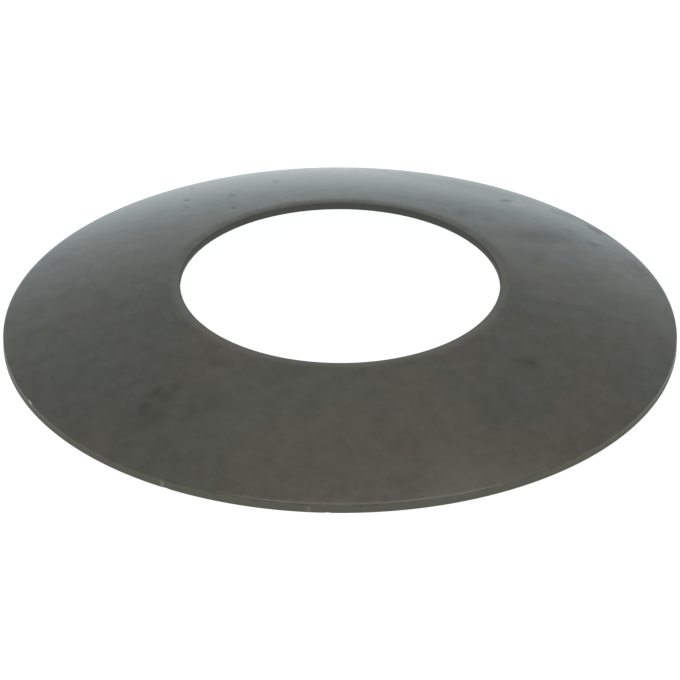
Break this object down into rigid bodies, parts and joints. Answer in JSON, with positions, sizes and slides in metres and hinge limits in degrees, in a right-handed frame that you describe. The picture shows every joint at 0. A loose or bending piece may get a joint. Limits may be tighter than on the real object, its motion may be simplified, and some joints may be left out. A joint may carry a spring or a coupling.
{
  "type": "spherical washer",
  "caption": "Thin pressed-steel thrust washer, dished to a sphere on both faces, with a round bore for a pin, taking load between a spherical seat and a rounded back face.",
  "frame": {"origin": "on the bore axis, in the plane of the flat land that the rim rests on", "axes": "+Z along the bore axis, out of the convex face; X and Y are free, because the washer is a solid of revolution"},
  "size_m": [0.085, 0.085, 0.0082],
  "materials": {
    "steel": "satin, dark phosphated grey"
  },
  "bodies": {
    "root": {"spherical_washer": "steel"}
  },
  "joints": []
}
